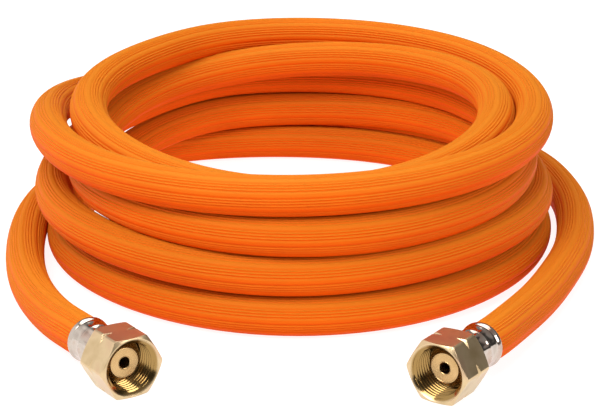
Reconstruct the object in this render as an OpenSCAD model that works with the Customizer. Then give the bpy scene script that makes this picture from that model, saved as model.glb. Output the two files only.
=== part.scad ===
// Gas hose assembly: a coiled rubber hose with a crimped union fitting on each
// end.  Each fitting is a nipple pushed into the hose, a steel ferrule crimped
// over it, and a loose hexagon nut with a left-hand internal thread.
// Units are millimetres, +Z is up, and the hose lies on the plane z = 0.

/* [Hose] */
// outside diameter of the hose
hose_d = 13.3; // [12.8:0.1:13.6]
// bore of the hose
hose_bore = 6.3; // [6:0.1:6.6]

/* [Coil] */
// half width of the coil, left to right, to the middle of the hose
coil_rx = 87; // [84:0.5:90]
// half depth of the coil, front to back, to the middle of the hose
coil_ry = 97; // [94:0.5:100]
// height from one strand to the next
strand_pitch = 13.5; // [13.3:0.1:14]
// strands stacked on each other in the main column
strands = 4; // [3:1:5]
// how far the loose inner strand stands in from the column
inner_step = 13; // [11:0.5:16]

/* [Union nut] */
// width across the flats of the nut
nut_af = 19; // [18.6:0.1:20]
// length of the nut
nut_len = 14; // [13.6:0.1:16]
// minor diameter of the internal thread
thread_minor = 14.95; // [14.8:0.05:15]
// diameter of the countersink at the mouth
mouth_d = 18; // [17.4:0.1:18.2]
// depth of the countersink at the mouth
mouth_depth = 1.2; // [1:0.1:1.4]
// depth at which the free thread ends and the nipple begins
thread_free = 4.8; // [4.4:0.1:5]
// diameter of the clear space round the nipple
relief_d = 16.8; // [16:0.1:17]
// diameter of the hole in the back of the nut
back_bore = 10.6; // [10.6:0.1:11]
// distance of the left-hand mark groove from the mouth
notch_at = 7.4; // [6:0.1:9]
// width of the left-hand mark groove at the corners
notch_w = 2.0; // [1.2:0.1:2.6]
// depth of the left-hand mark groove at the corners
notch_depth = 1.15; // [0.8:0.05:1.3]

/* [Nipple] */
// diameter of the flat face of the nose
nose_d = 9.8; // [9:0.1:10.4]
// diameter of the collar that the nut pulls on
collar_d = 14.0; // [13:0.1:14.4]
// diameter of the stem inside the back of the nut
stem_d = 10.0; // [9.4:0.1:10]
// diameter of the gas way through the nipple
gas_bore = 3.4; // [3:0.1:4]
// diameter over the ribs of the hose tail
barb_d = 7.0; // [6.8:0.1:7]
// diameter of the hose tail between its ribs
tail_d = 6.4; // [6:0.1:6.5]

/* [Ferrule] */
// outside diameter of the crimped sleeve
ferrule_d = 13.9; // [13.4:0.1:14.4]
// outside diameter of the rolled lip
lip_d = 14.6; // [14.2:0.1:15]
// inside diameter of the crimped sleeve
crimp_bore = 11.8; // [11.6:0.1:12]
// distance from the mouth of the nut to the front of the ferrule
ferrule_from = 14.8; // [14.8:0.1:15.4]
// distance from the mouth of the nut to the lip of the ferrule
ferrule_to = 28; // [27.6:0.1:29]

/* [Lay] */
// angle of each fitting from straight ahead
fitting_yaw = 34; // [30:1:38]

/* [Hidden] */
r_hose = hose_d / 2;
af2 = nut_af / 2;
corner_r = af2 / cos(30);
coil_c = [-3, 23];
// where the whole lay is moved to put its middle over the origin
lay_shift = [-1.5, -2.25, 0];
left_mouth = [-50, -124, af2];
right_mouth = [40.4, -128.3, af2];
left_back = 90 + fitting_yaw;
right_back = 90 - fitting_yaw;

// middle line of each end of the hose, from its ferrule to the coil
left_way = [
    [-72, -91, 9.2], [-78, -79, 8], [-86, -59, 7], [-92, -37, 6.65],
    [-95.5, -14, 6.65], [-97, 9, 6.65], [-96, 33, 6.65], [-91, 57, 6.65],
    [-81, 80, 6.65], [-64, 101, 6.65], [-38, 114, 6.65]
];
right_way = [
    [62, -95.5, 9.3], [68, -82.5, 8.2], [77.6, -61.5, 7], [86, -40, 6.65],
    [93.8, -16, 6.65], [98.3, 8, 6.65], [100, 34, 6.65], [98, 59, 6.65],
    [91.5, 85, 6.65], [76, 110, 6.65], [51, 126, 7.5], [24, 132, 11],
    [-3, 131.5, 16.5], [-41, 122.5, 26], [-71, 98.5, 34], [-88, 61, 40], [-91, 40, 42]
];

// a point on an end's own axis, u behind the mouth of its nut
function on_axis(mouth, back, u) = mouth + u * [cos(back), sin(back), 0];

// a smooth line through the points, one extra ring half way between each two
function pt(p, i) = p[min(max(i, 0), len(p) - 1)];
function mid(p, i) = (9 * (pt(p, i) + pt(p, i + 1)) - pt(p, i - 1) - pt(p, i + 2)) / 16;
function smooth(p) = [for (i = [0:2 * len(p) - 2]) i % 2 == 0 ? p[i / 2] : mid(p, (i - 1) / 2)];
function unit(v) = v / norm(v);
function along(p, i) = unit(pt(p, i + 1) - pt(p, i - 1));
function ring_at(c, t, n, r) =
    let (s = unit(cross(t, [0, 0, 1])), w = cross(s, t))
    [for (k = [0:n - 1]) c + r * (cos(360 * k / n) * s + sin(360 * k / n) * w)];

// one closed tube along the points, first_dir is its direction at the first of them
module swept(p, first_dir, r, n = 10) {
    q = smooth(p);
    m = len(q);
    pts = [for (i = [0:m - 1]) each ring_at(q[i], i == 0 ? first_dir : along(q, i), n, r)];
    sides = [for (i = [0:m - 2]) for (k = [0:n - 1])
        let (a = i * n + k, b = i * n + (k + 1) % n) [a, b, b + n, a + n]];
    caps = [[for (k = [0:n - 1]) n - 1 - k], [for (k = [0:n - 1]) (m - 1) * n + k]];
    polyhedron(points = pts, faces = concat(sides, caps), convexity = 6);
}

// solid of revolution about an end's axis: the outline is [radius, distance behind the mouth]
module turned(outline, mouth, back) {
    translate(lay_shift) translate(mouth) rotate([0, 0, back]) rotate([0, 90, 0])
        rotate_extrude($fn = 72) polygon(outline);
}

// ---------------------------------------------------------------- hose
module strand_circle(dr, z) {
    translate([coil_ry + dr, z]) circle(r = r_hose, $fn = 48);
}

// the strands of the coil, cut across on the right-hand side
module coil_outline() {
    strand_circle(-3, r_hose);
    for (k = [1:strands - 1]) strand_circle(0, r_hose + k * strand_pitch);
    // the loose inner strand leans on the top of the column
    strand_circle(-inner_step, r_hose + (strands - 1) * strand_pitch + 4.3);
    // the space shut in between the strands
    translate([coil_ry - 4.5, r_hose])
        square([6, (strands - 1) * strand_pitch]);
    translate([coil_ry - inner_step, r_hose + (strands - 1.6) * strand_pitch])
        square([inner_step, 0.45 * strand_pitch + 8]);
}

module hose_coil() {
    color("#e8701a") translate(lay_shift) translate([coil_c[0], coil_c[1], 0])
    scale([coil_rx / coil_ry, 1, 1]) for (q = [0:3])
        rotate([0, 0, 90 * q]) rotate_extrude(angle = 90, $fn = 96) coil_outline();
}

module hose_tail_left() {
    color("#e8701a") translate(lay_shift)
        swept(concat([on_axis(left_mouth, left_back, ferrule_to)], left_way),
              [cos(left_back), sin(left_back), 0], r_hose);
}

module hose_tail_right() {
    color("#e8701a") translate(lay_shift)
        swept(concat([on_axis(right_mouth, right_back, ferrule_to)], right_way),
              [cos(right_back), sin(right_back), 0], r_hose);
}

// the three layers of the hose, squeezed between the ferrule and the nipple
layer_from = ferrule_from + 2.8;
flare_from = ferrule_to - 1.5;
r_cover = crimp_bore / 2;
r_braid = r_cover - 1.0;
r_liner = r_braid - 0.6;
r_inner = barb_d / 2;

module cover(mouth, back) {
    color("#d9600f") turned([[r_braid, layer_from], [r_cover, layer_from], [r_cover, flare_from],
        [r_hose - 0.05, ferrule_to], [r_braid, ferrule_to]], mouth, back);
}
module braid(mouth, back) {
    color("#d8d2c0") turned([[r_liner, layer_from], [r_braid, layer_from],
        [r_braid, ferrule_to], [r_liner, ferrule_to]], mouth, back);
}
module liner(mouth, back) {
    color("#26221f") turned([[r_inner, layer_from], [r_liner, layer_from],
        [r_liner, ferrule_to], [r_inner, ferrule_to]], mouth, back);
}

// ---------------------------------------------------------------- fitting
module ferrule(mouth, back) {
    f = ferrule_from;
    t = ferrule_to;
    ro = ferrule_d / 2;
    color("#c9c4b4") turned([
        [4.2, f], [5.6, f], [ro - 0.5, f + 0.9], [ro, f + 1.8],
        [ro, f + 3.4], [ro - 0.35, f + 4.0], [ro - 0.35, f + 5.4], [ro, f + 6.0],
        [ro, f + 7.2], [ro - 0.35, f + 7.8], [ro - 0.35, f + 9.2], [ro, f + 9.8],
        [ro, t - 2.2], [lip_d / 2, t - 1.1], [lip_d / 2, t - 0.3], [lip_d / 2 - 0.3, t],
        [r_hose, t], [r_cover + 0.05, flare_from], [r_cover + 0.05, f + 1.5], [4.2, f + 1.5]
    ], mouth, back);
}

module nipple(mouth, back) {
    f = ferrule_from;
    rb = barb_d / 2;
    rt = tail_d / 2;
    n = thread_free + 0.1;
    color("#c8a45a") turned([
        [gas_bore / 2 + 0.4, n], [nose_d / 2 - 0.4, n], [nose_d / 2, n + 0.4],
        [nose_d / 2 + 1.0, n + 1.3], [collar_d / 2, n + 3.3], [collar_d / 2, 10.9], [stem_d / 2, 10.9],
        [stem_d / 2, f], [4.2, f], [4.2, f + 1.5], [5.0, f + 1.5], [5.0, f + 2.7], [rt, f + 2.7],
        [rt, f + 4.2], [rb, f + 4.8], [rt, f + 6.4], [rb, f + 7.0], [rt, f + 8.6], [rb, f + 9.2],
        [rt, f + 10.8], [rb, f + 11.2], [rt - 0.4, f + 12.7], [gas_bore / 2, f + 12.7],
        [gas_bore / 2, n + 0.4]
    ], mouth, back);
}

module nut(mouth, back) {
    face_r = af2 - 0.15;
    rear_r = af2 - 0.5;
    lean = tan(30);
    color("#cfb469") translate(lay_shift) translate(mouth) rotate([0, 0, back]) rotate([0, 90, 0])
    difference() {
        intersection() {
            rotate([0, 0, 30]) cylinder(r = corner_r, h = nut_len, $fn = 6);
            rotate_extrude($fn = 72) polygon([
                [0, 0], [face_r, 0], [face_r + 3, 3 * lean], [face_r + 3, nut_len - 3 * lean - (face_r - rear_r) * lean],
                [rear_r, nut_len], [0, nut_len]
            ]);
        }
        // countersink, free thread, space round the nipple, hole in the back
        rotate_extrude($fn = 72) polygon([
            [0, -1], [mouth_d / 2 + 1, -1], [mouth_d / 2, 0], [thread_minor / 2, mouth_depth],
            [thread_minor / 2, thread_free], [relief_d / 2, thread_free + 0.5], [relief_d / 2, 11.2],
            [back_bore / 2, 11.2], [back_bore / 2, nut_len + 1], [0, nut_len + 1]
        ]);
        // the groove across the corners marks a left-hand thread
        rotate_extrude($fn = 72) polygon([
            [corner_r - notch_depth, notch_at], [corner_r + 0.5, notch_at - notch_w / 2 - 0.4],
            [corner_r + 0.5, notch_at + notch_w / 2 + 0.4]
        ]);
    }
}

module cover_left() { cover(left_mouth, left_back); }
module braid_left() { braid(left_mouth, left_back); }
module liner_left() { liner(left_mouth, left_back); }
module ferrule_left() { ferrule(left_mouth, left_back); }
module nipple_left() { nipple(left_mouth, left_back); }
module nut_left() { nut(left_mouth, left_back); }
module cover_right() { cover(right_mouth, right_back); }
module braid_right() { braid(right_mouth, right_back); }
module liner_right() { liner(right_mouth, right_back); }
module ferrule_right() { ferrule(right_mouth, right_back); }
module nipple_right() { nipple(right_mouth, right_back); }
module nut_right() { nut(right_mouth, right_back); }

hose_coil();
hose_tail_left();
hose_tail_right();
cover_left();
braid_left();
liner_left();
ferrule_left();
nipple_left();
nut_left();
cover_right();
braid_right();
liner_right();
ferrule_right();
nipple_right();
nut_right();
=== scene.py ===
import math

import bmesh
import bpy
import numpy as np
from mathutils import Matrix, Vector


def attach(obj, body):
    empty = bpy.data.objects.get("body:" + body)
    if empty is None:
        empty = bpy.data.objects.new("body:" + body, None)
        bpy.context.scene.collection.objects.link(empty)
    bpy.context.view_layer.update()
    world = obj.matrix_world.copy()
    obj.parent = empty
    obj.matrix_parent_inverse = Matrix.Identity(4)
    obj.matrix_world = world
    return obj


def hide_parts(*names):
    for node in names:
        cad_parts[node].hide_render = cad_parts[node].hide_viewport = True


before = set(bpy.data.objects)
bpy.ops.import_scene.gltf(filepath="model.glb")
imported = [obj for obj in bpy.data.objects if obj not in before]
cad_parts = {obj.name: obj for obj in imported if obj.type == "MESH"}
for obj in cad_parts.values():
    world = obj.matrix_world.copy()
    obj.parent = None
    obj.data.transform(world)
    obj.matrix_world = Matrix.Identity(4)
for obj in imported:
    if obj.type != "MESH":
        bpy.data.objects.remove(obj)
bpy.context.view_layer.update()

MM = 0.001

# ------------------------------------------------------------------ layout, in millimetres, as in the CAD source
SHIFT = np.array([-1.5, -2.25, 0.0])
HOSE_D = 13.3
R_HOSE = HOSE_D / 2
COIL_C = np.array([-3.0, 23.0])
COIL_RX, COIL_RY = 87.0, 97.0
AF = 19.0
NUT_LEN = 14.0
YAW = 34.0
FERRULE_FROM, FERRULE_TO = 14.8, 28.0
ENDS = {
    "left": (np.array([-50.0, -124.0, AF / 2]), 90 + YAW),
    "right": (np.array([40.4, -128.3, AF / 2]), 90 - YAW),
}
LEFT_WAY = [
    (-72, -91, 9.2), (-78, -79, 8), (-86, -59, 7), (-92, -37, 6.65),
    (-95.5, -14, 6.65), (-97, 9, 6.65), (-96, 33, 6.65), (-91, 57, 6.65),
    (-81, 80, 6.65), (-64, 101, 6.65),
]
RIGHT_WAY = [
    (62, -95.5, 9.3), (68, -82.5, 8.2), (77.6, -61.5, 7), (86, -40, 6.65),
    (93.8, -16, 6.65), (98.3, 8, 6.65), (100, 34, 6.65), (98, 59, 6.65),
    (91.5, 85, 6.65), (76, 110, 6.65), (51, 127, 8),
]
# the turns of the coil: degrees round from the left side by way of the back,
# step out from the main column, height
TURNS = [
    (70, 1, 6.65), (90, -2.5, 6.65), (135, -1, 6.65), (180, 0, 6.65), (225, 0, 6.65), (270, 0, 6.65), (315, -3.5, 6.65),
    (360, -6, 6.65), (382, -7, 9), (405, -3, 14.7), (427, -2, 19.2), (450, -2, 20.1), (495, -1, 22.2), (540, 0, 20.6),
    (585, 0, 21.2), (630, 0, 20.3), (675, -0.5, 22), (720, -2, 23.5), (742, -2.5, 26), (765, -2, 29.5), (787, -1.5, 33),
    (810, -1, 33.6), (855, -2.5, 34.5), (900, -6, 33.7), (945, -2, 33.65), (990, 0, 33.65), (1035, -7, 33.6),
    (1080, -14, 33), (1125, -12, 37.6), (1170, -12.5, 43), (1215, -13.5, 47), (1260, -14.2, 48.5), (1305, -13.5, 44.6),
    (1350, -13.2, 42.2), (1395, -14.2, 46), (1440, -14.9, 50.5), (1470, -14.5, 51.4), (1485, -12.5, 51.4), (1507, -6, 51.2),
    (1530, -0.5, 50.5), (1575, 2.3, 49.5), (1620, -0.6, 47.9), (1665, 0, 47.5), (1710, 0, 47.15), (1755, 0, 46.6),
    (1800, 0, 43.9), (1822, 4.5, 40), (1845, 9.5, 34), (1867, 11, 26), (1890, 11.5, 16.5),
]


def spline(points, at=None, per=24):
    """A smooth curve with continuous curvature through the points. Returns it finely sampled, or at the values of the first column."""
    p = np.array(points, float)
    if at is None:
        t = np.concatenate([[0], np.cumsum(np.linalg.norm(np.diff(p, axis=0), axis=1) ** 0.5)])
        y = p
    else:
        t, y = p[:, 0], p[:, 1:]
    n, h = len(t), np.diff(t)
    a = np.zeros((n, n))
    b = np.zeros((n, y.shape[1]))
    a[0, 0] = a[-1, -1] = 1.0
    for i in range(1, n - 1):
        a[i, i - 1], a[i, i], a[i, i + 1] = h[i - 1], 2 * (h[i - 1] + h[i]), h[i]
        b[i] = 6 * ((y[i + 1] - y[i]) / h[i] - (y[i] - y[i - 1]) / h[i - 1])
    m = np.linalg.solve(a, b)
    x = np.asarray(at, float) if at is not None else np.concatenate(
        [np.linspace(t[i], t[i + 1], per, endpoint=False) for i in range(n - 1)] + [[t[-1]]])
    i = np.clip(np.searchsorted(t, x, side="right") - 1, 0, n - 2)
    u, v, hh = (t[i + 1] - x)[:, None], (x - t[i])[:, None], h[i][:, None]
    return (m[i] * u ** 3 + m[i + 1] * v ** 3) / (6 * hh) + (y[i] / hh - m[i] * hh / 6) * u + (y[i + 1] / hh - m[i + 1] * hh / 6) * v


def on_axis(side, u):
    mouth, back = ENDS[side]
    return mouth + u * np.array([math.cos(math.radians(back)), math.sin(math.radians(back)), 0])


def lane(psi, step, z):
    a = math.radians(psi)
    return np.array([COIL_C[0] - (COIL_RX + step) * math.cos(a), COIL_C[1] + (COIL_RY + step) * math.sin(a), z])


def route():
    """The hose's middle line in metres, a point about every 4.7 mm."""
    psis = np.arange(67.5, 1891, 22.5)
    lanes = spline([(45, 12, 6.65)] + TURNS + [(1912, 14, 9.5)], at=psis)
    pts = [on_axis("left", u) for u in (FERRULE_TO - 0.3, FERRULE_TO + 6)]
    pts += [np.array(p, float) for p in LEFT_WAY]
    pts += [lane(a, s, z) for a, (s, z) in zip(psis, lanes)]
    pts += [np.array(p, float) for p in reversed(RIGHT_WAY)]
    pts += [on_axis("right", u) for u in (FERRULE_TO + 6, FERRULE_TO - 0.3)]
    fine = spline(pts)
    s = np.concatenate([[0], np.cumsum(np.linalg.norm(np.diff(fine, axis=0), axis=1))])
    k = int(round(s[-1] / 4.8))
    w = np.linspace(0, s[-1], k + 1)
    line = np.stack([np.interp(w, s, fine[:, j]) for j in range(3)], -1)
    return (line + SHIFT) * MM, s[-1]


# ------------------------------------------------------------------ helpers
def mesh_object(name, verts, faces, smooth=True, sharp=None):
    me = bpy.data.meshes.new(name)
    me.from_pydata([tuple(v) for v in verts], [], faces)
    me.validate()
    me.update()
    if smooth:
        me.polygons.foreach_set("use_smooth", [True] * len(me.polygons))
    if sharp is not None:
        me.set_sharp_from_angle(angle=math.radians(sharp))
    o = bpy.data.objects.new(name, me)
    bpy.context.scene.collection.objects.link(o)
    return o


# ------------------------------------------------------------------ camera
cam_data = bpy.data.cameras.new("camera")
cam_data.sensor_width = 36.0
cam_data.lens = 130.2
cam_data.clip_start, cam_data.clip_end = 0.05, 20.0
cam = bpy.data.objects.new("camera", cam_data)
bpy.context.scene.collection.objects.link(cam)
cam.location = (-0.0015, -0.72525, 0.264)
cam.rotation_euler = (math.radians(90 - 18.81), 0, 0)
bpy.context.scene.camera = cam


# ------------------------------------------------------------------ hose
GROUPS, PER_GROUP = 8, 4
GROOVE_PITCH = 0.95  # mm along the hose's circumference
GROOVE_DEPTH = 0.30


def cover_section():
    """Angles and depths round the hose's cover: groups of fine lengthwise grooves with plain bands between."""
    full = 2 * math.pi * R_HOSE / GROUPS
    out = []
    for g in range(GROUPS):
        start = (full - PER_GROUP * GROOVE_PITCH) / 2
        marks = [(0.0, 0.0), (start * 0.5, 0.0)]
        for i in range(PER_GROUP):
            a = start + i * GROOVE_PITCH
            marks += [(a, 0.0), (a + 0.36 * GROOVE_PITCH, GROOVE_DEPTH), (a + 0.64 * GROOVE_PITCH, GROOVE_DEPTH)]
        marks += [(start + PER_GROUP * GROOVE_PITCH, 0.0), (full - start * 0.5, 0.0)]
        out += [((g * full + a) / R_HOSE, d) for a, d in marks]
    return out


def make_hose():
    line, length = route()
    n = len(line)
    tan = np.gradient(line, axis=0)
    tan /= np.linalg.norm(tan, axis=1)[:, None]
    side = np.cross(tan[0], (0, 0, 1.0))
    side /= np.linalg.norm(side)
    section = cover_section()
    ang = np.array([a for a, _ in section])
    dep = np.array([d for _, d in section])
    m = len(section)
    verts = []
    for i in range(n):
        side = side - tan[i] * side.dot(tan[i])
        side /= np.linalg.norm(side)
        up = np.cross(side, tan[i])
        turn = math.radians(200.0) * i / n + 0.25 * math.sin(i * 0.021)
        a = ang + turn
        rad = (R_HOSE - dep) * MM
        verts.append(line[i] + rad[:, None] * (np.cos(a)[:, None] * side + np.sin(a)[:, None] * up))
    verts = np.concatenate(verts)
    faces = []
    for i in range(n - 1):
        b = i * m
        for k in range(m):
            k2 = (k + 1) % m
            faces.append((b + k, b + k2, b + m + k2, b + m + k))
    faces.append(tuple(range(m - 1, -1, -1)))
    faces.append(tuple((n - 1) * m + k for k in range(m)))
    o = mesh_object("hose", verts, faces, sharp=80)
    return o, line, length


hose, hose_line, hose_length = make_hose()
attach(hose, "hose")
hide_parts("hose_coil", "hose_tail_left", "hose_tail_right")

# ------------------------------------------------------------------ fittings
def end_matrix(side):
    """Local frame of one end, in metres: +Z runs from the nut's mouth back along the hose, +Y is up."""
    mouth, back = ENDS[side]
    b = math.radians(back)
    w = Vector((math.cos(b), math.sin(b), 0))
    v = Vector((0, 0, 1))
    u = v.cross(w)
    m = Matrix((u, v, w)).transposed().to_4x4()
    m.translation = Vector((mouth + SHIFT) * MM)
    return m


def lathe(profile, steps=96, ripple=None):
    """Rings of points round local Z from a closed outline of (radius, height) in mm."""
    verts, faces, n = [], [], len(profile)
    for i in range(steps):
        a = 2 * math.pi * i / steps
        for r, z in profile:
            q = r + (ripple(a, z, r) if ripple else 0.0)
            verts.append((q * math.cos(a) * MM, q * math.sin(a) * MM, z * MM))
    for i in range(steps):
        j = (i + 1) % steps
        for k in range(n):
            k2 = (k + 1) % n
            faces.append((i * n + k, j * n + k, j * n + k2, i * n + k2))
    return verts, faces


def placed(name, verts, faces, side, body, node, slot, sharp=32):
    o = mesh_object(name, verts, faces, sharp=sharp)
    o.matrix_world = end_matrix(side)
    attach(o, body)
    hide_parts(node)
    return o


def applied(o):
    """The object's mesh with its modifiers applied."""
    dg = bpy.context.evaluated_depsgraph_get()
    me = bpy.data.meshes.new_from_object(o.evaluated_get(dg))
    old = o.data
    o.modifiers.clear()
    o.data = me
    bpy.data.meshes.remove(old)


CORNER_R = AF / 2 / math.cos(math.radians(30))
MINOR_R, MAJOR_R, THREAD_PITCH = 7.475, 8.331, 1.337
SINK_R, SINK_DEPTH = 9.0, 1.2
RELIEF_FROM, BORE_TO = 10.2, 11.2
NOTCH_AT, NOTCH_DEPTH, NOTCH_HALF = 7.4, 1.15, 1.3


def thread_surface(cols=96, per=12):
    """Left-hand internal thread from the countersink to the relief behind it."""
    sink = (SINK_R - MINOR_R) / SINK_DEPTH
    rows = int((BORE_TO / THREAD_PITCH + 2.2) * per)
    verts, index = [], {}
    for i in range(cols):
        for j in range(rows):
            z = (j - i / cols * per) * THREAD_PITCH / per
            z = min(max(z, 0.0), BORE_TO)
            t = (z / THREAD_PITCH + i / cols) % 1.0
            tri = 1 - 4 * abs(t - 0.5)
            r = MINOR_R + (MAJOR_R - MINOR_R) * (0.5 + 0.5 * min(max(1.3 * tri, -1), 1))
            r = max(r, SINK_R + 0.02 - sink * z)
            if z > RELIEF_FROM:
                r = MAJOR_R + 0.08
            a = 2 * math.pi * i / cols
            index[i, j] = len(verts)
            verts.append((r * math.cos(a) * MM, r * math.sin(a) * MM, z * MM))
    faces = []
    for i in range(cols):
        for j in range(rows - 1):
            if i < cols - 1:
                b0, b1 = (i + 1, j), (i + 1, j + 1)
            elif j >= per:
                b0, b1 = (0, j - per), (0, j - per + 1)
            else:
                continue
            faces.append((index[i, j], index[i, j + 1], index[b1], index[b0]))
    return verts, faces


def hex_prism():
    """The bar that the nut is cut from: a hexagon with slightly rounded corners."""
    ring = []
    for k in range(6):
        c = math.radians(60 * k)
        for d, f in ((-1.9, 0.9985), (-0.9, 1.0), (0.0, 1.0), (0.9, 1.0), (1.9, 0.9985)):
            a = c + math.radians(d)
            r = min(AF / 2 / math.cos(math.radians(30 - abs(d))), CORNER_R - 0.22)
            ring.append((r * math.cos(a), r * math.sin(a)))
    n = len(ring)
    verts = [(x * MM, y * MM, z * MM) for z in (-1.0, NUT_LEN + 1.0) for x, y in ring]
    faces = [(k, (k + 1) % n, n + (k + 1) % n, n + k) for k in range(n)]
    faces += [tuple(range(n - 1, -1, -1)), tuple(range(n, 2 * n))]
    return verts, faces


def nut(side):
    face_r, rear_r = AF / 2 - 0.15, AF / 2 - 0.5
    lean = math.tan(math.radians(30))
    far = CORNER_R + 0.6
    profile = [
        (SINK_R + 0.02, 0), (face_r, 0), (far, (far - face_r) * lean),
        (far, NOTCH_AT - NOTCH_HALF), (CORNER_R - NOTCH_DEPTH, NOTCH_AT - 0.12),
        (CORNER_R - NOTCH_DEPTH, NOTCH_AT + 0.12), (far, NOTCH_AT + NOTCH_HALF),
        (far, NUT_LEN - (far - rear_r) * lean), (rear_r, NUT_LEN), (5.9, NUT_LEN), (5.3, NUT_LEN - 0.6),
        (5.3, BORE_TO), (8.62, BORE_TO), (8.62, 0.6),
    ]
    body = mesh_object("union_nut_" + side, *lathe(profile, 144), smooth=False)
    bar = mesh_object("nut_bar_" + side, *hex_prism(), smooth=False)
    for o in (body, bar):
        bm = bmesh.new()
        bm.from_mesh(o.data)
        bmesh.ops.recalc_face_normals(bm, faces=bm.faces)
        bm.to_mesh(o.data)
        bm.free()
    cut = body.modifiers.new("hexagon", "BOOLEAN")
    cut.operation, cut.solver, cut.object = "INTERSECT", "EXACT", bar
    applied(body)
    bpy.data.objects.remove(bar)
    edge = body.modifiers.new("edges", "BEVEL")
    edge.width, edge.segments, edge.limit_method, edge.angle_limit = 0.14 * MM, 2, "ANGLE", math.radians(24)
    edge.use_clamp_overlap = True
    applied(body)
    verts, faces = thread_surface()
    bm = bmesh.new()
    bm.from_mesh(body.data)
    vs = [bm.verts.new(v) for v in verts]
    bm.verts.ensure_lookup_table()
    for f in faces:
        try:
            bm.faces.new([vs[k] for k in f])
        except ValueError:
            pass
    bmesh.ops.remove_doubles(bm, verts=vs, dist=2e-6)
    bmesh.ops.dissolve_degenerate(bm, edges=bm.edges, dist=1e-7)
    bm.to_mesh(body.data)
    bm.free()
    body.data.polygons.foreach_set("use_smooth", [True] * len(body.data.polygons))
    body.data.set_sharp_from_angle(angle=math.radians(33))
    flat = body.modifiers.new("flats", "WEIGHTED_NORMAL")
    flat.mode, flat.weight, flat.keep_sharp = "FACE_AREA", 100, True
    applied(body)
    body.matrix_world = end_matrix(side)
    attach(body, side + "_union")
    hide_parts("nut_" + side)
    return body


def nipple(side):
    f = FERRULE_FROM
    profile = [
        (1.75, 5.35), (1.78, 5.12), (2.0, 4.95), (2.12, 4.92), (2.2, 5.0), (2.5, 5.02), (4.35, 5.0), (4.42, 4.93),
        (4.62, 4.92), (4.8, 5.0), (4.9, 5.25), (5.05, 5.5), (5.9, 6.2), (6.7, 7.6), (7.0, 8.2), (7.0, 10.75),
        (6.85, 10.9), (5.0, 10.9), (5.0, f - 0.3), (4.8, f), (4.2, f), (4.2, f + 1.5), (5.0, f + 1.5), (5.0, f + 2.7),
        (3.2, f + 2.7), (3.2, f + 4.2), (3.5, f + 4.8), (3.2, f + 6.4), (3.5, f + 7.0), (3.2, f + 8.6), (3.5, f + 9.2),
        (3.2, f + 10.8), (3.5, f + 11.2), (2.9, f + 12.7), (1.75, f + 12.7),
    ]
    return placed("union_nipple_" + side, *lathe(profile, 96), side, "hose", "nipple_" + side, "nipple_brass", sharp=28)


def ferrule(side):
    f, t = FERRULE_FROM, FERRULE_TO
    ro = 6.95
    outer = [
        (4.2, f + 0.1), (4.9, f), (5.5, f + 0.05), (6.0, f + 0.25), (6.45, f + 0.7), (6.75, f + 1.3), (6.88, f + 1.9),
    ]
    k = 26
    outer += [(6.9, f + 2.1 + (t - 3.0 - f - 2.1) * i / k) for i in range(k + 1)]
    outer += [
        (6.9, t - 2.6), (6.82, t - 2.3), (6.85, t - 2.05), (7.02, t - 1.75), (7.22, t - 1.35), (7.3, t - 0.9),
        (7.3, t - 0.6), (7.22, t - 0.3), (7.0, t - 0.08), (6.75, t), (6.66, t - 0.1),
        (6.6, t - 0.6), (5.95, t - 1.5), (5.95, f + 1.5), (4.2, f + 1.5),
    ]

    def crimp(a, z, r):
        """Eight pressed flats round the sleeve in two bands, with ridges between them."""
        if r < 6.6 or z < f + 2.0 or z > t - 2.9:
            return 0.0
        s = (z - f - 2.0) / (t - 2.9 - f - 2.0)
        band = math.sin(math.pi * min(s / 0.56, 1.0)) ** 0.6 if s < 0.56 else 0.55 * math.sin(math.pi * (s - 0.56) / 0.44) ** 0.8
        w = 0.5 + 0.5 * math.cos(8 * a)
        flat = min(1.0, 1.9 * w ** 0.8)
        return -0.62 * band * (0.25 + 0.75 * flat) + 0.08 * math.sin(math.pi * s)

    return placed("crimp_ferrule_" + side, *lathe(outer, 144, crimp), side, "hose", "ferrule_" + side, "ferrule_steel", sharp=50)


nuts = {s: nut(s) for s in ENDS}
nipples = {s: nipple(s) for s in ENDS}
ferrules = {s: ferrule(s) for s in ENDS}

# ------------------------------------------------------------------ materials
def new_material(name):
    m = bpy.data.materials.new(name)
    m.use_nodes = True
    return m, m.node_tree.nodes, m.node_tree.links, m.node_tree.nodes["Principled BSDF"]


def noise(nodes, links, scale, detail=2.0, stretch=None, rough=0.5):
    """Noise in the piece's own coordinates, stretched along its axes if asked."""
    tc = nodes.new("ShaderNodeTexCoord")
    t = nodes.new("ShaderNodeTexNoise")
    t.inputs["Scale"].default_value = scale
    t.inputs["Detail"].default_value = detail
    t.inputs["Roughness"].default_value = rough
    source = tc.outputs["Object"]
    if stretch:
        mp = nodes.new("ShaderNodeMapping")
        mp.inputs["Scale"].default_value = stretch
        links.new(source, mp.inputs["Vector"])
        source = mp.outputs["Vector"]
    links.new(source, t.inputs["Vector"])
    return t


def ramp(nodes, links, source, stops):
    r = nodes.new("ShaderNodeValToRGB")
    e = r.color_ramp.elements
    e[0].position, e[0].color = stops[0][0], (*stops[0][1], 1)
    e[1].position, e[1].color = stops[-1][0], (*stops[-1][1], 1)
    for p, c in stops[1:-1]:
        x = e.new(p)
        x.color = (*c, 1)
    links.new(source, r.inputs["Fac"])
    return r


def to_range(nodes, links, source, low, high):
    m = nodes.new("ShaderNodeMapRange")
    m.inputs["To Min"].default_value = low
    m.inputs["To Max"].default_value = high
    links.new(source, m.inputs["Value"])
    return m.outputs["Result"]


def bump(nodes, links, height, strength, distance, before=None):
    b = nodes.new("ShaderNodeBump")
    b.inputs["Strength"].default_value = strength
    b.inputs["Distance"].default_value = distance
    links.new(height, b.inputs["Height"])
    if before is not None:
        links.new(before, b.inputs["Normal"])
    return b.outputs["Normal"]


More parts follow.
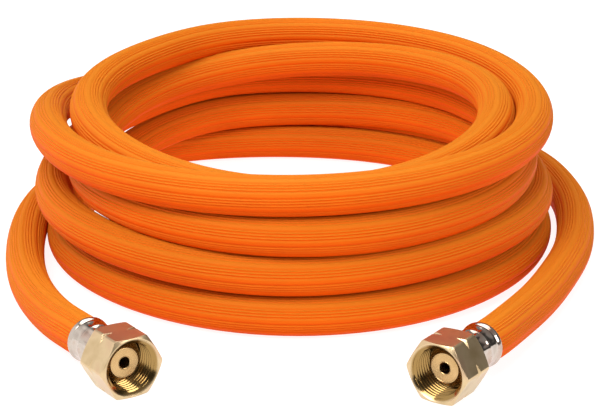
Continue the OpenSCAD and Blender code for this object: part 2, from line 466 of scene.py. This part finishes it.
def rubber(name, low, high, rough=(0.5, 0.66), specular=0.16, painted_top_highlight=None):
    """Extruded rubber: faint cloudy colour, fine grain, and a painted highlight on its upper side: upward-facing
    surfaces blend to a paler, yellower orange.
    """
    m, nodes, links, bsdf = new_material(name)
    big = noise(nodes, links, 38, 4)
    col = ramp(nodes, links, big.outputs["Fac"], [(0.3, low), (0.72, high)])
    colour = col.outputs["Color"]
    # painted highlight: the colour blends towards the given paler orange as the surface normal turns upward, standing
    # in for light from above
    if painted_top_highlight:
        tc = nodes.new("ShaderNodeTexCoord")
        sep = nodes.new("ShaderNodeSeparateXYZ")
        links.new(tc.outputs["Normal"], sep.inputs["Vector"])
        up = nodes.new("ShaderNodeMapRange")
        up.inputs["From Min"].default_value = -0.3
        up.inputs["From Max"].default_value = 0.95
        links.new(sep.outputs["Z"], up.inputs["Value"])
        both = nodes.new("ShaderNodeMix")
        both.data_type = "RGBA"
        links.new(up.outputs["Result"], both.inputs["Factor"])
        links.new(colour, both.inputs[6])
        both.inputs[7].default_value = (*painted_top_highlight, 1)
        colour = both.outputs[2]
    links.new(colour, bsdf.inputs["Base Color"])
    fine = noise(nodes, links, 1500, 4)
    links.new(to_range(nodes, links, fine.outputs["Fac"], *rough), bsdf.inputs["Roughness"])
    mid = noise(nodes, links, 260, 3)
    first = bump(nodes, links, mid.outputs["Fac"], 0.25, 0.00012)
    links.new(bump(nodes, links, fine.outputs["Fac"], 0.2, 0.00006, first), bsdf.inputs["Normal"])
    bsdf.inputs["Specular IOR Level"].default_value = specular
    return m


def turned_metal(name, low, high, rough, rings=0.0, tint=None, patch=220, bore_shade_and_polish=None):
    """Machined metal: cloudy passivation colour, tool rings round local Z, small scratches, and where asked a painted
    shade and a smoother finish inside a bore.
    """
    m, nodes, links, bsdf = new_material(name)
    cloud = noise(nodes, links, patch, 3)
    stops = [(0.3, low), (0.7, high)]
    if tint:
        stops = [(0.28, low), (0.5, high), (0.72, tint)]
    col = ramp(nodes, links, cloud.outputs["Fac"], stops)
    colour = col.outputs["Color"]
    fine = noise(nodes, links, 2600, 3)
    grain = to_range(nodes, links, fine.outputs["Fac"], *rough)
    # painted shade: inside the given radius the colour blends to a dark brown standing in for the shade in the recess,
    # and the roughness drops to the given smoother value
    if bore_shade_and_polish:
        radius, painted_bore_shade, smooth = bore_shade_and_polish
        tc = nodes.new("ShaderNodeTexCoord")
        flat = nodes.new("ShaderNodeVectorMath")
        flat.operation = "MULTIPLY"
        flat.inputs[1].default_value = (1, 1, 0)
        links.new(tc.outputs["Object"], flat.inputs[0])
        away = nodes.new("ShaderNodeVectorMath")
        away.operation = "LENGTH"
        links.new(flat.outputs["Vector"], away.inputs[0])
        inside = nodes.new("ShaderNodeMapRange")
        inside.inputs["From Min"].default_value = (radius + 0.25) * MM
        inside.inputs["From Max"].default_value = (radius - 0.25) * MM
        links.new(away.outputs["Value"], inside.inputs["Value"])
        both = nodes.new("ShaderNodeMix")
        both.data_type = "RGBA"
        links.new(inside.outputs["Result"], both.inputs["Factor"])
        links.new(colour, both.inputs[6])
        both.inputs[7].default_value = (*painted_bore_shade, 1)
        colour = both.outputs[2]
        polish = nodes.new("ShaderNodeMix")
        links.new(inside.outputs["Result"], polish.inputs["Factor"])
        links.new(grain, polish.inputs[2])
        polish.inputs[3].default_value = smooth
        grain = polish.outputs[0]
    links.new(colour, bsdf.inputs["Base Color"])
    bsdf.inputs["Metallic"].default_value = 1.0
    links.new(grain, bsdf.inputs["Roughness"])
    normal = bump(nodes, links, fine.outputs["Fac"], 0.12, 0.00004)
    if rings:
        tc = nodes.new("ShaderNodeTexCoord")
        wave = nodes.new("ShaderNodeTexWave")
        wave.wave_type, wave.rings_direction = "RINGS", "Z"
        wave.inputs["Scale"].default_value = 900
        wave.inputs["Distortion"].default_value = 0.6
        wave.inputs["Detail"].default_value = 1.0
        links.new(tc.outputs["Object"], wave.inputs["Vector"])
        normal = bump(nodes, links, wave.outputs["Fac"], rings, 0.00005, normal)
    links.new(normal, bsdf.inputs["Normal"])
    return m


def woven(name, low, high):
    """Textile reinforcement: crossed yarns."""
    m, nodes, links, bsdf = new_material(name)
    tc = nodes.new("ShaderNodeTexCoord")
    both = []
    for turn in (0.95, -0.95):
        mp = nodes.new("ShaderNodeMapping")
        mp.inputs["Rotation"].default_value = (0, 0, turn)
        wave = nodes.new("ShaderNodeTexWave")
        wave.inputs["Scale"].default_value = 420
        wave.inputs["Distortion"].default_value = 0.8
        links.new(tc.outputs["Object"], mp.inputs["Vector"])
        links.new(mp.outputs["Vector"], wave.inputs["Vector"])
        both.append(wave.outputs["Fac"])
    high_of = nodes.new("ShaderNodeMath")
    high_of.operation = "MAXIMUM"
    links.new(both[0], high_of.inputs[0])
    links.new(both[1], high_of.inputs[1])
    col = ramp(nodes, links, high_of.outputs[0], [(0.1, low), (0.8, high)])
    links.new(col.outputs["Color"], bsdf.inputs["Base Color"])
    links.new(bump(nodes, links, high_of.outputs[0], 0.6, 0.0002), bsdf.inputs["Normal"])
    bsdf.inputs["Roughness"].default_value = 0.85
    return m


def dress(o, material):
    o.data.materials.clear()
    o.data.materials.append(material)


# the orange rubber's upper side carries a painted highlight in a paler, yellower orange
ORANGE = rubber("orange_rubber", (0.73, 0.076, 0.0002), (0.79, 0.092, 0.0005), specular=0.05, painted_top_highlight=(0.62, 0.178, 0.011))
BLACK = rubber("liner_rubber", (0.012, 0.011, 0.010), (0.022, 0.02, 0.018), (0.4, 0.55), 0.4)
BRAID = woven("braid_yarn", (0.42, 0.38, 0.30), (0.78, 0.74, 0.64))
# the nut's thread bore, inside 8.7 mm radius, carries a painted shade in dark brown and a smoother finish
NUT_GOLD = turned_metal("nut_passivated", (0.56, 0.39, 0.20), (0.70, 0.52, 0.30), (0.27, 0.38), tint=(0.66, 0.42, 0.26), patch=110, bore_shade_and_polish=(8.7, (0.36, 0.22, 0.075), 0.13))
NIPPLE_GOLD = turned_metal("nipple_brass", (0.56, 0.35, 0.15), (0.66, 0.43, 0.20), (0.2, 0.32), rings=0.35)
STEEL = turned_metal("ferrule_steel", (0.42, 0.35, 0.30), (0.58, 0.50, 0.43), (0.08, 0.15), tint=(0.50, 0.33, 0.26), patch=160)

dress(hose, ORANGE)
for s in ENDS:
    dress(nuts[s], NUT_GOLD)
    dress(nipples[s], NIPPLE_GOLD)
    dress(ferrules[s], STEEL)
    for node, material in (("cover", ORANGE), ("braid", BRAID), ("liner", BLACK)):
        o = bpy.data.objects[node + "_" + s]
        for slot in o.material_slots:
            slot.material = material


# ------------------------------------------------------------------ floor and light
floor_mesh = bpy.data.meshes.new("floor")
floor_mesh.from_pydata([(-3, -3, -0.0003), (3, -3, -0.0003), (3, 5, -0.0003), (-3, 5, -0.0003)], [], [(0, 1, 2, 3)])
floor = bpy.data.objects.new("floor", floor_mesh)
bpy.context.scene.collection.objects.link(floor)
fm, nodes, links, bsdf = new_material("floor_white")
paper = noise(nodes, links, 300, 2)
tone = ramp(nodes, links, paper.outputs["Fac"], [(0.3, (0.27, 0.27, 0.27)), (0.7, (0.29, 0.29, 0.29))])
links.new(tone.outputs["Color"], bsdf.inputs["Base Color"])
bsdf.inputs["Roughness"].default_value = 0.95
bsdf.inputs["Specular IOR Level"].default_value = 0.0
bsdf.inputs["Emission Color"].default_value = (1, 1, 1, 1)
bsdf.inputs["Emission Strength"].default_value = 0.88
floor.data.materials.append(fm)

# a soft studio round the object: bright overhead, darker towards the sides
world = bpy.data.worlds.new("studio")
bpy.context.scene.world = world
world.use_nodes = True
wn, wl = world.node_tree.nodes, world.node_tree.links
background = wn["Background"]
tc = wn.new("ShaderNodeTexCoord")
sep = wn.new("ShaderNodeSeparateXYZ")
wl.new(tc.outputs["Generated"], sep.inputs["Vector"])
sky = wn.new("ShaderNodeValToRGB")
e = sky.color_ramp.elements
e[0].position, e[0].color = 0.0, (0.5, 0.5, 0.5, 1)
e[1].position, e[1].color = 1.0, (0.32, 0.32, 0.32, 1)
for p, c in ((0.05, 0.4), (0.1, 0.06), (0.42, 0.07), (0.6, 0.32)):
    x = e.new(p)
    x.color = (c, c, c, 1)
wl.new(sep.outputs["Z"], sky.inputs["Fac"])
# a white wall stands on the left
wall = wn.new("ShaderNodeMapRange")
wall.inputs["From Min"].default_value = -0.35
wall.inputs["From Max"].default_value = -0.75
wl.new(sep.outputs["X"], wall.inputs["Value"])
mixed = wn.new("ShaderNodeMix")
mixed.data_type = "RGBA"
wl.new(wall.outputs["Result"], mixed.inputs["Factor"])
wl.new(sky.outputs["Color"], mixed.inputs[6])
mixed.inputs[7].default_value = (1.1, 1.1, 1.1, 1)
wl.new(mixed.outputs[2], background.inputs["Color"])
background.inputs["Strength"].default_value = 1.0


def area(name, place, target, size, power, colour=(1, 1, 1)):
    d = bpy.data.lights.new(name, "AREA")
    d.shape = "RECTANGLE"
    d.size, d.size_y = size
    d.energy = power
    d.color = colour
    o = bpy.data.objects.new(name, d)
    o.location = place
    o.rotation_euler = (Vector(target) - Vector(place)).to_track_quat("-Z", "Y").to_euler()
    bpy.context.scene.collection.objects.link(o)
    return o


area("key", (-0.35, -0.65, 0.85), (0, 0, 0.0), (0.7, 0.5), 8.0)
area("fill", (0.85, -0.6, 0.5), (0, 0, 0.02), (0.5, 0.5), 4.6)
area("top", (0.0, 0.25, 1.1), (0, 0, 0.02), (1.0, 0.8), 7.0)

bpy.context.scene.view_settings.view_transform = "Standard"
bpy.context.scene.view_settings.look = "None"
